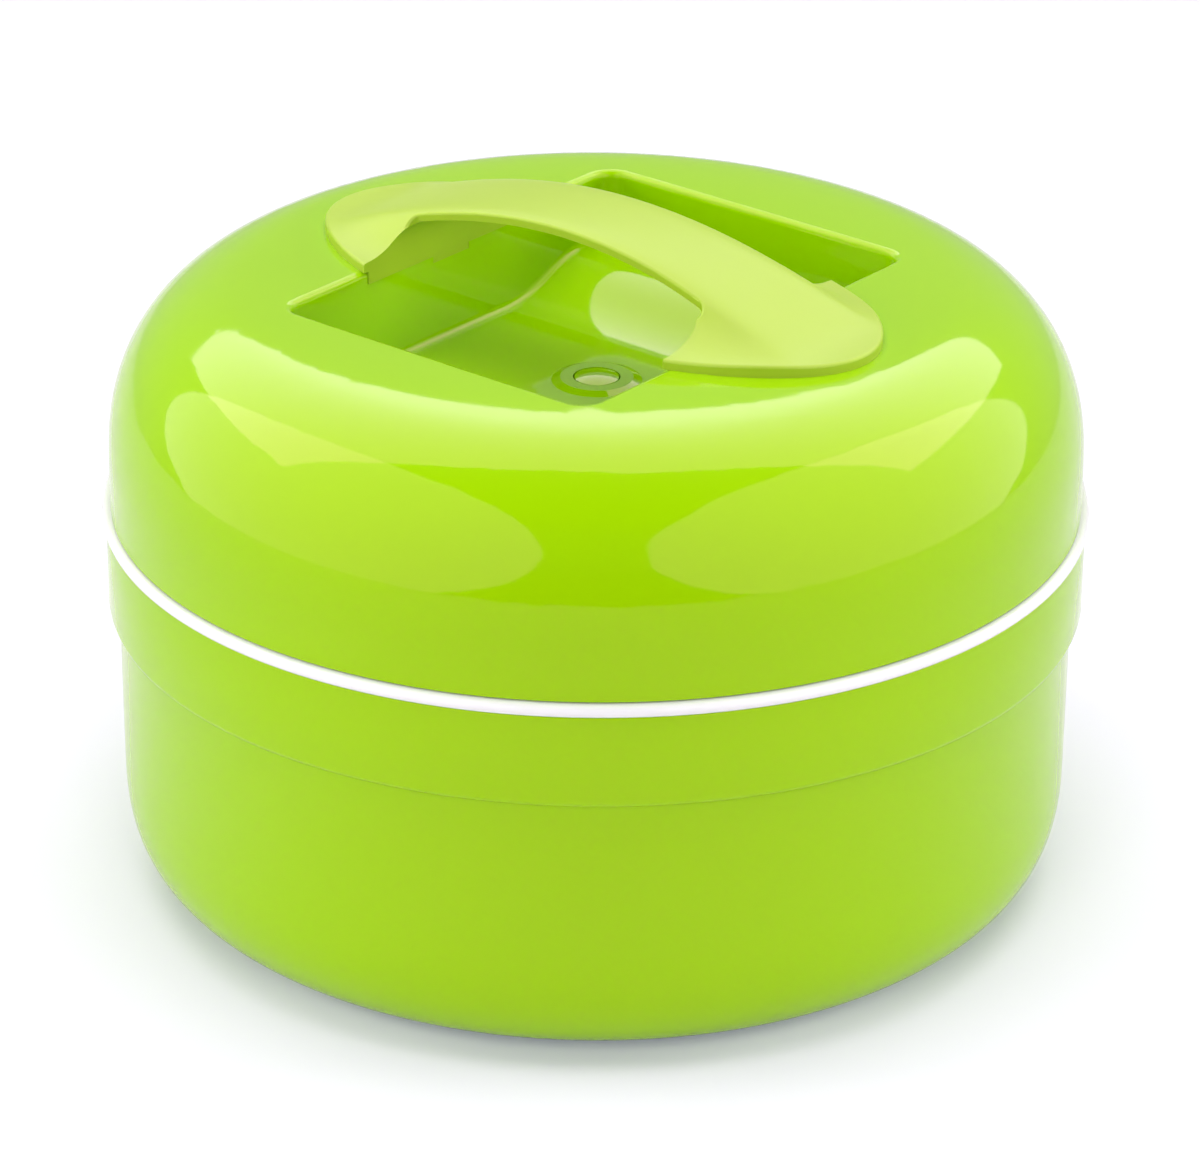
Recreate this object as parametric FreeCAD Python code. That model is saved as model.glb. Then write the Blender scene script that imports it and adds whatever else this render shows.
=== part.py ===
"""Round insulated food container with a snap lid and a carry handle.

Lengths are in millimetres. The origin is the centre of the foot circle, +Z points up along the
container's axis, and the handle runs along X.
"""
import FreeCAD, Part
import math
import os

# ---------------------------------------------------------------- driving dimensions
# Outer bowl
BOWL_RADIUS = 97.1        # plain wall, just under the band
BOWL_DRAFT = 0.2          # radius lost from the band down to the base corner
BOWL_HEIGHT = 79.25       # foot to the underside of the white rim
BAND_HEIGHT = 19.25       # thicker band below the rim
BAND_STEP = 2.1           # how far the band stands out from the plain wall
BAND_ROUND = 1.5          # rounding of the band's lower edge
CORNER_REACH = 28.0       # base corner, measured radially
CORNER_RISE = 26.5        # base corner, measured upwards
CORNER_POWER = 2.8        # how square the base corner is
SHELL_WALL = 2.4
FOOT_WIDTH = 8.5          # flat ring that the bowl stands on
FOOT_RECESS = 1.6         # the floor inside the foot ring is this much higher
FILL_HOLE_RADIUS = 6.0    # hole in the floor through which the foam is poured

# Plug of the foam filling hole
PLUG_LIP_WIDTH = 3.0
PLUG_LIP_THICKNESS = 1.0
PLUG_BARB = 0.5
PLUG_BARB_HEIGHT = 1.2

# White liner of the bowl, whose rim shows between lid and bowl
RIM_THICKNESS = 2.5
RIM_OVERHANG = 0.8        # how far the rim stands out from the band
LINER_WALL = 2.0
SIDE_INSULATION = 6.8     # band wall to liner
FLOOR_INSULATION = 4.3    # bowl floor to liner floor
LEDGE_DEPTH = 14.75       # rim top down to the ledge that carries the dish
LEDGE_WIDTH = 4.0
LINER_DRAFT = 2.5         # radius lost from the ledge down to the liner's corner
LINER_CORNER = 15.0
REGISTER_WALL = 1.6       # rib under the rim that centres the liner in the bowl
REGISTER_DEPTH = 3.5

# Inner dish
DISH_CLEARANCE = 0.6      # dish to liner
DISH_WALL = 1.8
DISH_COLLAR_HEIGHT = 2.2  # collar above the dish's flange, under its lid

# Lid of the inner dish
DISH_LID_WALL = 1.6
DISH_LID_SKIRT_WALL = 1.7
DISH_LID_PLUG_DEPTH = 3.9
DISH_LID_GRIP_LENGTH = 52.0
DISH_LID_GRIP_THICKNESS = 4.0
DISH_LID_GRIP_HEIGHT = 8.5
DISH_LID_GRIP_ROUND = 5.1
GASKET_THICKNESS = 1.0

# Lid cover
LID_HEIGHT = 45.65        # rim top to lid top
LID_SETBACK = 1.7         # the lid's skirt is this much smaller in radius than the rim
LID_SHADOW_GAP = 0.35     # dark line between lid skirt and rim
LID_WALL = 2.4
CROWN = 0.5               # rise of the lid's nearly flat top
SHOULDER_REACH = 29.1     # shoulder, measured radially
SHOULDER_RISE = 35.0      # shoulder, measured upwards
SHOULDER_POWER = 2.0      # how square the shoulder is where it meets the top
SKIRT_POWER = 2.4         # and where it meets the skirt
SEAT_STEP = 1.3           # step inside the skirt that the lid liner is welded to

# Finger pocket in the lid
POCKET_LENGTH = 77.0      # along X
POCKET_WIDTH = 101.5      # along Y
POCKET_DEPTH = 21.5       # lid top to pocket floor
POCKET_CORNER = 4.5
POCKET_FILLET = 1.5       # wall to floor
POCKET_RIM_ROUND = 1.4
RAMP_START = 17.0         # the floor is flat up to this distance from the middle
RAMP_END = 44.0           # and ends its rise at this one
RAMP_RISE = 6.4

# Carry handle
HANDLE_LENGTH = 133.0     # tip to tip
HANDLE_FLAP_WIDTH = 66.0  # short axis of the oval that the flaps follow
HANDLE_RISE = 15.1        # grip top above lid top
HANDLE_BEND = 0.004       # fall of the grip's top per square millimetre away from the middle
HANDLE_FLAP = 2.0         # flap thickness
HANDLE_SKIN = 2.6         # thickness of the grip at its middle
GRIP_WIDTH = 22.4
GRIP_END_WIDTH = 25.4
SHELF_WIDTH = 15.0        # from the grip's edge out to the flap's level
SHELF_HOLLOW = 2.6        # how hollow the slope from grip to flap is, 1 being straight
GRIP_EDGE_SOFTNESS = 0.12  # share of the shelf over which the grip's top rolls into it
GRIP_TURN = 1.6           # where the grip's side turns into the leg: length and width of the bend
LEG_TRIM = 1.0            # how far the flaps' outline reaches into the hand space, which trims it
HANDLE_EDGE_ROUND = 0.6   # rounding of the long upper edges of grip and flaps
HANDLE_WALL = 2.2         # skin of the cored-out flaps, on top and at their edges
LEG_LEAN = 3.0            # stock inside the pocket wall from which the hollow of the hand is cut
LEG_PROUD = 0.3           # how far the leg stands out of the pocket wall, at the seam
LEG_WIDTH = 51.0
ARCH_CORNER = 4.0         # rounding between leg and grip, inside
LEG_DEPTH = 3.0           # lid top at the pocket to the bottom of the leg
TONGUE_WIDTH = 11.0       # middle of the leg, which reaches a little deeper
TONGUE_DEPTH = 1.6
BOSS_RADIUS = 3.6

# Handle screws
SCREW_RADIUS = 1.5
SCREW_HEAD_RADIUS = 2.8
SCREW_HEAD_HEIGHT = 1.8
SCREW_LENGTH = 6.5
SCREW_ALONG = 45.5        # screw axis from the middle, along X
SCREW_ACROSS = 9.0        # and along Y
SCREW_SLOT_WIDTH = 0.8

# Lid liner and its plug
LID_LINER_WALL = 2.0
LID_LINER_CORNER = 11.0
LID_PLUG_DEPTH = 7.25     # rim top to the lower end of the plug
LID_PLUG_WALL = 2.6
LID_PLUG_GAP = 1.1        # mouth to plug, bridged by the seal
SEAL_HEIGHT = 3.0
SEAL_SEAT = 1.0           # depth of the groove in the plug
SEAL_INSET = 2.0          # groove's lower edge above the plug's end
SEAL_GAP = 0.3            # relaxed lips to mouth

# Steam vent
VENT_SPACE = 6.5          # pocket floor underside to lid liner
VENT_RADIUS = 4.5
VENT_PROUD = 1.3
VENT_GAP = 0.3
VENT_FLANGE = 1.2
VENT_FLANGE_WIDTH = 1.5
VENT_COLLAR_WIDTH = 4.4
VENT_COLLAR_HEIGHT = 0.7
VENT_COLLAR_SLOPE = 1.8   # how far its outer edge slopes
STEM_RADIUS = 1.6
STEM_TIP = 0.8
VENT_HOLE_RADIUS = 0.9
VENT_HOLE_COUNT = 4
VENT_HOLE_CIRCLE = 4.4
DISC_RADIUS = 6.0
DISC_THICKNESS = 1.6
CLIP_RADIUS = 3.0
CLIP_THICKNESS = 1.2
BELLOWS_RADIUS = 3.2
BELLOWS_FOLD = 0.7        # depth of the folds
BELLOWS_FOLDS = 3
BELLOWS_WALL = 0.5

# Fits between pieces
FOAM_GAP = 0.2            # foam to the shells around it
FIT_GAP = 0.3             # loose pieces, sideways

# ---------------------------------------------------------------- heights and radii worked out
BAND_RADIUS = BOWL_RADIUS + BAND_STEP
RIM_RADIUS = BAND_RADIUS + RIM_OVERHANG
RIM_TOP = BOWL_HEIGHT + RIM_THICKNESS
SHELL_FLOOR = FOOT_RECESS + SHELL_WALL
MOUTH_RADIUS = BAND_RADIUS - SHELL_WALL - SIDE_INSULATION - LINER_WALL
LEDGE_Z = RIM_TOP - LEDGE_DEPTH
CAVITY_RADIUS = MOUTH_RADIUS - LEDGE_WIDTH
LINER_BOTTOM = SHELL_FLOOR + FLOOR_INSULATION
DISH_RADIUS = CAVITY_RADIUS - DISH_CLEARANCE
DISH_FLANGE_TOP = LEDGE_Z + DISH_WALL
DISH_TOP = DISH_FLANGE_TOP + DISH_COLLAR_HEIGHT
DISH_LID_TOP = DISH_TOP + GASKET_THICKNESS + FIT_GAP + GASKET_THICKNESS / 2
LID_TOP = RIM_TOP + LID_HEIGHT
SKIRT_RADIUS = RIM_RADIUS - LID_SETBACK
SHOULDER_RADIUS = SKIRT_RADIUS - SHOULDER_REACH
PLUG_RADIUS = MOUTH_RADIUS - LID_PLUG_GAP
POCKET_FLOOR = LID_TOP - POCKET_DEPTH
POCKET_UNDERSIDE = POCKET_FLOOR - LID_WALL
CEILING_TOP = POCKET_UNDERSIDE - VENT_SPACE
CEILING = CEILING_TOP - LID_LINER_WALL
ARCH_TOP = LID_TOP + HANDLE_RISE
LEG_BOTTOM = LID_TOP - LEG_DEPTH


# ---------------------------------------------------------------- shape helpers
def point(radius, z):
    """A point of a profile in the XZ plane."""
    return FreeCAD.Vector(radius, 0, z)


def outline(*items):
    """A closed face in the XZ plane; items are (radius, z) points and edges, in order."""
    edges = []
    first = last = None
    for item in items:
        is_edge = isinstance(item, Part.Edge)
        start = item.Vertexes[0].Point if is_edge else point(*item)
        if last is not None and last.distanceToPoint(start) > 1e-6:
            edges.append(Part.makeLine(last, start))
        if is_edge:
            edges.append(item)
        last = item.Vertexes[-1].Point if is_edge else start
        first = first or start
    if last.distanceToPoint(first) > 1e-6:
        edges.append(Part.makeLine(last, first))
    return Part.Face(Part.Wire(edges))


def turned(*items):
    """The solid that a profile makes when it is turned about the container's axis."""
    return outline(*items).revolve(FreeCAD.Vector(), FreeCAD.Vector(0, 0, 1), 360)


def ring(inner, outer, low, high):
    """A plain ring, or a disc when inner is 0, about the container's axis."""
    return turned((inner, low), (outer, low), (outer, high), (inner, high))


def arc(start, middle, end):
    """A circular arc through three (radius, z) points."""
    return Part.Arc(point(*start), point(*middle), point(*end)).toShape()


def lower_corner(centre_radius, centre_z, size):
    """The lower outer quarter of a circle, from its lowest point out to its side."""
    half = size / math.sqrt(2)
    return arc((centre_radius, centre_z - size), (centre_radius + half, centre_z - half),
               (centre_radius + size, centre_z))


def upper_corner(centre_radius, centre_z, size):
    """The upper outer quarter of a circle, from its side in to its highest point."""
    half = size / math.sqrt(2)
    return arc((centre_radius + size, centre_z), (centre_radius + half, centre_z + half),
               (centre_radius, centre_z + size))


def cap(radius, low, top):
    """The arc of a shallow round cap, from its edge at (radius, low) to the axis at top."""
    sagitta = top - low
    bend = (radius ** 2 + sagitta ** 2) / (2 * sagitta)
    half_angle = math.asin(radius / bend) / 2
    middle = (bend * math.sin(half_angle), top - bend * (1 - math.cos(half_angle)))
    return arc((radius, low), middle, (0, top))


def spline(places, start, end):
    """A smooth curve through (radius, z) points with given directions at its ends."""
    curve = Part.BSplineCurve()
    curve.interpolate(Points=[point(*place) for place in places], InitialTangent=point(*start),
                      FinalTangent=point(*end))
    return curve.toShape()


def superellipse(reach, rise, side_power, top_power, steps=10):
    """Points of a squared-off quarter ellipse, from its outermost point to its top, about its centre.

    A power of 2 gives a plain ellipse and more a squarer one: side_power near the outermost point,
    top_power near the top.
    """
    places = []
    for step in range(steps + 1):
        angle = math.radians(90.0 * step / steps)
        places.append((reach * max(math.cos(angle), 0.0) ** (2 / top_power),
                       rise * math.sin(angle) ** (2 / side_power)))
    return places


def reversed_edge(edge):
    """The same edge, run through from its other end."""
    curve = edge.Curve.copy()
    first, last = edge.ParameterRange
    start, end = curve.reversedParameter(last), curve.reversedParameter(first)
    curve.reverse()
    return curve.toShape(start, end)


def rod(x, y, low, high, radius):
    """An upright cylinder."""
    return Part.makeCylinder(radius, high - low, FreeCAD.Vector(x, y, low))


def block(x_range, y_range, z_range):
    """A box between two corners."""
    size = [high - low for low, high in (x_range, y_range, z_range)]
    return Part.makeBox(*size, FreeCAD.Vector(x_range[0], y_range[0], z_range[0]))


# ---------------------------------------------------------------- bowl
def bowl_outside(inset):
    """The bowl's outer wall from the base corner up to the band, moved inwards by inset."""
    centre = BOWL_RADIUS - BOWL_DRAFT - CORNER_REACH
    quarter = superellipse(CORNER_REACH - inset, CORNER_RISE - inset, CORNER_POWER, CORNER_POWER)
    places = [(centre + out, CORNER_RISE - down) for out, down in quarter]
    return spline(places[::-1], (1, 0), (0, 1))


def outer_bowl():
    """Green shell with a band, a soft base corner, a foot ring and a foam filling hole."""
    foot_outer = BOWL_RADIUS - BOWL_DRAFT - CORNER_REACH
    foot_inner = foot_outer - FOOT_WIDTH
    band_foot = BOWL_HEIGHT - BAND_HEIGHT
    inner_base = bowl_outside(SHELL_WALL)
    inner_floor = inner_base.Vertexes[0].Point
    skin = BAND_ROUND / math.sqrt(2)
    shell = turned(
        (FILL_HOLE_RADIUS, FOOT_RECESS), (foot_inner - FOOT_RECESS, FOOT_RECESS), (foot_inner, 0),
        bowl_outside(0.0),
        (BOWL_RADIUS, band_foot),
        arc((BAND_RADIUS - BAND_ROUND, band_foot),
            (BAND_RADIUS - BAND_ROUND + skin, band_foot + BAND_ROUND - skin),
            (BAND_RADIUS, band_foot + BAND_ROUND)),
        (BAND_RADIUS, BOWL_HEIGHT), (BAND_RADIUS - SHELL_WALL, BOWL_HEIGHT),
        (BAND_RADIUS - SHELL_WALL, band_foot + SHELL_WALL),
        (BOWL_RADIUS - SHELL_WALL, band_foot),
        reversed_edge(inner_base),
        (inner_floor.x, SHELL_FLOOR), (FILL_HOLE_RADIUS, SHELL_FLOOR))
    return shell


def foam_filler_plug():
    """Soft plug pushed into the filling hole, with its lip inside the foot recess."""
    return turned(
        (0, FOOT_RECESS - PLUG_LIP_THICKNESS),
        (FILL_HOLE_RADIUS + PLUG_LIP_WIDTH, FOOT_RECESS - PLUG_LIP_THICKNESS),
        (FILL_HOLE_RADIUS + PLUG_LIP_WIDTH, FOOT_RECESS), (FILL_HOLE_RADIUS, FOOT_RECESS),
        (FILL_HOLE_RADIUS, SHELL_FLOOR), (FILL_HOLE_RADIUS + PLUG_BARB, SHELL_FLOOR),
        (FILL_HOLE_RADIUS - PLUG_BARB, SHELL_FLOOR + PLUG_BARB_HEIGHT),
        (0, SHELL_FLOOR + PLUG_BARB_HEIGHT))


def cup_side(radius, bottom, size):
    """A cup's side below the ledge: floor corner and drafted wall, for a cup of that top radius."""
    foot_radius = radius - LINER_DRAFT
    return lower_corner(foot_radius - size, bottom + size, size)


def bowl_liner():
    """White inner wall of the bowl with its ledge and its round-edged rim."""
    outside = LINER_WALL
    rim_round = RIM_THICKNESS / 2
    rim_middle = BOWL_HEIGHT + rim_round
    register = BAND_RADIUS - SHELL_WALL - FOAM_GAP
    wall = turned(
        (0, LINER_BOTTOM),
        cup_side(CAVITY_RADIUS + outside, LINER_BOTTOM, LINER_CORNER + outside),
        (CAVITY_RADIUS + outside, LEDGE_Z - outside), (MOUTH_RADIUS + outside, LEDGE_Z - outside),
        (MOUTH_RADIUS + outside, BOWL_HEIGHT),
        (register - REGISTER_WALL, BOWL_HEIGHT), (register - REGISTER_WALL, BOWL_HEIGHT - REGISTER_DEPTH),
        (register, BOWL_HEIGHT - REGISTER_DEPTH), (register, BOWL_HEIGHT),
        arc((RIM_RADIUS - rim_round, BOWL_HEIGHT), (RIM_RADIUS, rim_middle),
            (RIM_RADIUS - rim_round, RIM_TOP)),
        (MOUTH_RADIUS, RIM_TOP), (MOUTH_RADIUS, LEDGE_Z), (CAVITY_RADIUS, LEDGE_Z),
        reversed_edge(cup_side(CAVITY_RADIUS, LINER_BOTTOM + LINER_WALL, LINER_CORNER)),
        (0, LINER_BOTTOM + LINER_WALL))
    return wall


def bowl_insulation():
    """Foam cup between the outer bowl and the liner, round the filler plug."""
    top = BOWL_HEIGHT - REGISTER_DEPTH - FOAM_GAP
    band_foot = BOWL_HEIGHT - BAND_HEIGHT
    outer_base = bowl_outside(SHELL_WALL + FOAM_GAP)
    outer_floor = outer_base.Vertexes[0].Point
    liner_outside = LINER_WALL + FOAM_GAP
    plug_hole = FILL_HOLE_RADIUS + PLUG_BARB + FOAM_GAP
    return turned(
        (plug_hole, SHELL_FLOOR + FOAM_GAP), (outer_floor.x, SHELL_FLOOR + FOAM_GAP),
        outer_base,
        (BOWL_RADIUS - SHELL_WALL - FOAM_GAP, band_foot),
        (BAND_RADIUS - SHELL_WALL - FOAM_GAP, band_foot + SHELL_WALL),
        (BAND_RADIUS - SHELL_WALL - FOAM_GAP, top), (MOUTH_RADIUS + liner_outside, top),
        (MOUTH_RADIUS + liner_outside, LEDGE_Z - liner_outside),
        (CAVITY_RADIUS + liner_outside, LEDGE_Z - liner_outside),
        reversed_edge(cup_side(CAVITY_RADIUS + liner_outside, LINER_BOTTOM - FOAM_GAP,
                               LINER_CORNER + liner_outside)),
        (plug_hole, LINER_BOTTOM - FOAM_GAP))


# ---------------------------------------------------------------- inner dish
def food_dish():
    """Removable dish that hangs by its flange on the liner's ledge."""
    bottom = LINER_BOTTOM + LINER_WALL + DISH_CLEARANCE
    size = LINER_CORNER - DISH_CLEARANCE
    flange = MOUTH_RADIUS - DISH_CLEARANCE
    return turned(
        (0, bottom), cup_side(DISH_RADIUS, bottom, size),
        (DISH_RADIUS, LEDGE_Z), (flange, LEDGE_Z), (flange, DISH_FLANGE_TOP),
        (DISH_RADIUS, DISH_FLANGE_TOP), (DISH_RADIUS, DISH_TOP), (DISH_RADIUS - DISH_WALL, DISH_TOP),
        (DISH_RADIUS - DISH_WALL, LEDGE_Z),
        reversed_edge(cup_side(DISH_RADIUS - DISH_WALL, bottom + DISH_WALL, size - DISH_WALL)),
        (0, bottom + DISH_WALL))


def dish_seal():
    """Flat gasket in the dish lid, seated on the dish's collar."""
    return ring(DISH_RADIUS - DISH_WALL, DISH_RADIUS, DISH_TOP, DISH_TOP + GASKET_THICKNESS)


def dish_lid():
    """Lid of the dish: skirt outside the collar, plug ring inside it, and a moulded grip rib."""
    gasket_top = DISH_TOP + GASKET_THICKNESS
    plate_low = DISH_LID_TOP - DISH_LID_WALL
    skirt_inner = DISH_RADIUS + FIT_GAP
    plug_outer = DISH_RADIUS - DISH_WALL - FIT_GAP
    plug_low = plate_low - DISH_LID_PLUG_DEPTH
    skirt_low = DISH_FLANGE_TOP + FIT_GAP
    body = turned(
        (0, plate_low), (plug_outer - DISH_WALL, plate_low), (plug_outer - DISH_WALL, plug_low),
        (plug_outer, plug_low), (plug_outer, gasket_top), (skirt_inner, gasket_top),
        (skirt_inner, skirt_low), (skirt_inner + DISH_LID_SKIRT_WALL, skirt_low),
        (skirt_inner + DISH_LID_SKIRT_WALL, DISH_LID_TOP - DISH_LID_WALL / 2),
        (skirt_inner + DISH_LID_SKIRT_WALL / 2, DISH_LID_TOP), (0, DISH_LID_TOP))
    half_length = DISH_LID_GRIP_LENGTH / 2
    half_width = DISH_LID_GRIP_THICKNESS / 2
    grip = block((-half_length, half_length), (-half_width, half_width),
                 (plate_low, DISH_LID_TOP + DISH_LID_GRIP_HEIGHT))
    ends = [edge for edge in grip.Edges if edge.BoundBox.ZMin > DISH_LID_TOP and edge.BoundBox.XLength < 1]
    grip = grip.makeFillet(DISH_LID_GRIP_ROUND, ends)
    return body.fuse(grip).removeSplitter()


# ---------------------------------------------------------------- lid
def crown_height(radius):
    """Height of the lid's nearly flat top at a distance from the axis."""
    return LID_TOP - CROWN * (radius / SHOULDER_RADIUS) ** 2


def dome(inset, low):
    """The full lid body under a surface that lies inset below the lid's outside."""
    places = []
    for out, up in superellipse(SHOULDER_REACH - inset, SHOULDER_RISE - inset, SKIRT_POWER, SHOULDER_POWER):
        radius = SHOULDER_RADIUS + out
        places.append((radius, crown_height(radius) - SHOULDER_RISE + up))
    for share in (0.67, 0.33, 0.0):
        places.append((share * SHOULDER_RADIUS, crown_height(share * SHOULDER_RADIUS) - inset))
    return turned((0, low), (SKIRT_RADIUS - inset, low), spline(places, (0, 1), (-1, 0)))


def rounded_prism(half_x, half_y, radius, low, high):
    """An upright prism with a round-cornered rectangular section."""
    prism = block((-half_x, half_x), (-half_y, half_y), (low, high))
    return prism.makeFillet(radius, [edge for edge in prism.Edges if edge.BoundBox.ZLength > 1])


def pocket_body(margin, fillet):
    """The pocket's space, or with a margin the tub round it: flat floor, ramps to both ends."""
    half_x = POCKET_LENGTH / 2 + margin
    half_y = POCKET_WIDTH / 2 + margin
    floor = POCKET_FLOOR - margin
    top = LID_TOP + CROWN
    middle = (RAMP_START + RAMP_END) / 2
    half_run = (RAMP_END - RAMP_START) / 2
    bend = (half_run ** 2 + (RAMP_RISE / 2) ** 2) / RAMP_RISE
    share = half_run / 2
    sag = bend - math.sqrt(bend ** 2 - share ** 2)

    def across(y, z):
        return FreeCAD.Vector(0, y, z)

    def ramp(side):
        lower = Part.Arc(across(side * RAMP_START, floor), across(side * (RAMP_START + share), floor + sag),
                         across(side * middle, floor + RAMP_RISE / 2)).toShape()
        upper = Part.Arc(across(side * middle, floor + RAMP_RISE / 2),
                         across(side * (RAMP_END - share), floor + RAMP_RISE - sag),
                         across(side * RAMP_END, floor + RAMP_RISE)).toShape()
        return [lower, upper]

    reach = half_y + 1
    edges = ramp(-1) + ramp(1) + [
        Part.makeLine(across(-RAMP_START, floor), across(RAMP_START, floor)),
        Part.makeLine(across(-RAMP_END, floor + RAMP_RISE), across(-reach, floor + RAMP_RISE)),
        Part.makeLine(across(-reach, floor + RAMP_RISE), across(-reach, top)),
        Part.makeLine(across(-reach, top), across(reach, top)),
        Part.makeLine(across(reach, top), across(reach, floor + RAMP_RISE)),
        Part.makeLine(across(reach, floor + RAMP_RISE), across(RAMP_END, floor + RAMP_RISE))]
    section = Part.Face(Part.Wire(Part.sortEdges(edges)[0]))
    section.translate(FreeCAD.Vector(-half_x - 1, 0, 0))
    ramped = section.extrude(FreeCAD.Vector(2 * half_x + 2, 0, 0))
    body = ramped.common(rounded_prism(half_x, half_y, POCKET_CORNER + margin, floor - 1, top))
    if not fillet:
        return body
    foot = []
    for edge in body.Edges:
        middle_point = edge.valueAt(sum(edge.ParameterRange) / 2)
        inside = (abs(middle_point.x) < half_x - POCKET_CORNER
                  and abs(middle_point.y) < half_y - POCKET_CORNER)
        if edge.BoundBox.ZMax < floor + RAMP_RISE + 1 and not inside:
            foot.append(edge)
    return body.makeFillet(fillet, foot)


def leg_block(side, gap, lean):
    """Space of one handle leg and its tongue in the notch of the pocket wall."""
    wall = POCKET_LENGTH / 2
    outer = wall + LID_WALL + gap
    across = LEG_WIDTH / 2 + gap
    tongue = TONGUE_WIDTH / 2 + gap
    in_wall = sorted((side * (wall - gap), side * outer))
    upper = block(in_wall, (-across, across), (LEG_BOTTOM, LID_TOP + HANDLE_FLAP / 2))
    lower = block(in_wall, (-tongue, tongue), (LEG_BOTTOM - TONGUE_DEPTH, LID_TOP))
    legs = upper.fuse(lower)
    if lean:
        inward = sorted((side * (wall - lean), side * wall))
        legs = legs.fuse(block(inward, (-across, across), (LEG_BOTTOM, LID_TOP)))
    return legs


def screw_places():
    """The four handle screws: axis X, axis Y and the height of the lid's underside there."""
    places = []
    for side_x in (-1, 1):
        for side_y in (-1, 1):
            x, y = side_x * SCREW_ALONG, side_y * SCREW_ACROSS
            far = math.hypot(x, y) + SCREW_HEAD_RADIUS
            places.append((x, y, crown_height(far) - LID_WALL))
    return places


def lid_cover():
    """Green dome with the finger pocket, the handle notches and the vent's collar."""
    skirt_low = RIM_TOP + LID_SHADOW_GAP
    seat = RIM_TOP + LID_LINER_WALL
    cover = dome(0, skirt_low).cut(dome(LID_WALL, skirt_low - 1))
    cover = cover.fuse(ring(SKIRT_RADIUS - LID_WALL - SEAT_STEP, SKIRT_RADIUS - LID_WALL / 2, seat,
                            seat + LID_LINER_WALL))
    tub = pocket_body(LID_WALL, 0).common(dome(LID_WALL / 2, POCKET_UNDERSIDE - 1))
    cover = cover.fuse(tub).cut(pocket_body(0, POCKET_FILLET))
    rim_edges = []
    for edge in cover.Edges:
        place = edge.valueAt(sum(edge.ParameterRange) / 2)
        on_wall = (abs(place.x) > POCKET_LENGTH / 2 - POCKET_CORNER
                   or abs(place.y) > POCKET_WIDTH / 2 - POCKET_CORNER)
        in_pocket = abs(place.x) < POCKET_LENGTH / 2 + 0.1 and abs(place.y) < POCKET_WIDTH / 2 + 0.1
        if on_wall and in_pocket and edge.BoundBox.ZMin > LID_TOP - 2 * CROWN - 1:
            rim_edges.append(edge)
    cover = cover.makeFillet(POCKET_RIM_ROUND, rim_edges)
    collar_outer = VENT_RADIUS + VENT_GAP + VENT_COLLAR_WIDTH
    cover = cover.fuse(turned(
        (0, POCKET_UNDERSIDE), (collar_outer, POCKET_UNDERSIDE), (collar_outer, POCKET_FLOOR),
        (collar_outer - VENT_COLLAR_SLOPE, POCKET_FLOOR + VENT_COLLAR_HEIGHT),
        (0, POCKET_FLOOR + VENT_COLLAR_HEIGHT)))
    cover = cover.cut(ring(0, VENT_RADIUS + VENT_GAP, POCKET_UNDERSIDE - 1, POCKET_FLOOR + 2))
    for side in (-1, 1):
        cover = cover.cut(leg_block(side, FIT_GAP / 3, 0))
    for x, y, underside in screw_places():
        cover = cover.cut(rod(x, y, underside - 1, LID_TOP + 1, SCREW_RADIUS + FIT_GAP))
    return cover


def lid_liner():
    """White inside of the lid: weld flange, plug with seal groove, and ceiling with vent holes."""
    flange = SKIRT_RADIUS - LID_WALL - FIT_GAP / 2
    plug_low = RIM_TOP - LID_PLUG_DEPTH
    plug_inner = PLUG_RADIUS - LID_PLUG_WALL
    groove_low = plug_low + SEAL_INSET
    seat = RIM_TOP + LID_LINER_WALL
    corner_radius = plug_inner - LID_LINER_CORNER
    corner_z = CEILING - LID_LINER_CORNER
    inner_corner = upper_corner(corner_radius, corner_z, LID_LINER_CORNER)
    outer_corner = upper_corner(corner_radius, corner_z, LID_LINER_CORNER + LID_LINER_WALL)
    liner = turned(
        (plug_inner, plug_low), inner_corner, (0, CEILING), (0, CEILING_TOP),
        reversed_edge(outer_corner),
        (plug_inner + LID_LINER_WALL, seat), (flange, seat), (flange, RIM_TOP), (PLUG_RADIUS, RIM_TOP),
        (PLUG_RADIUS, groove_low + SEAL_HEIGHT), (PLUG_RADIUS - SEAL_SEAT, groove_low + SEAL_HEIGHT),
        (PLUG_RADIUS - SEAL_SEAT, groove_low), (PLUG_RADIUS, groove_low),
        (PLUG_RADIUS, plug_low + LID_PLUG_WALL / 3), (PLUG_RADIUS - LID_PLUG_WALL / 3, plug_low))
    liner = liner.cut(rod(0, 0, CEILING - 1, CEILING_TOP + 1, STEM_RADIUS + FIT_GAP))
    for index in range(VENT_HOLE_COUNT):
        angle = 2 * math.pi * (index + 0.5) / VENT_HOLE_COUNT
        x, y = VENT_HOLE_CIRCLE * math.cos(angle), VENT_HOLE_CIRCLE * math.sin(angle)
        liner = liner.cut(rod(x, y, CEILING - 1, CEILING_TOP + 1, VENT_HOLE_RADIUS))
    return liner


def lid_seal():
    """Silicone ring in the plug's groove, with two soft lips towards the bowl's mouth."""
    low = RIM_TOP - LID_PLUG_DEPTH + SEAL_INSET
    seat = PLUG_RADIUS - SEAL_SEAT
    lip = MOUTH_RADIUS - SEAL_GAP
    body = PLUG_RADIUS + FIT_GAP / 3
    third = SEAL_HEIGHT / 6
    return turned(
        (seat, low), (body, low), (lip, low + third), (body, low + 2 * third), (body, low + 3 * third),
        (lip, low + 4 * third), (body, low + 5 * third),
        (body, low + SEAL_HEIGHT), (seat, low + SEAL_HEIGHT))


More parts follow.
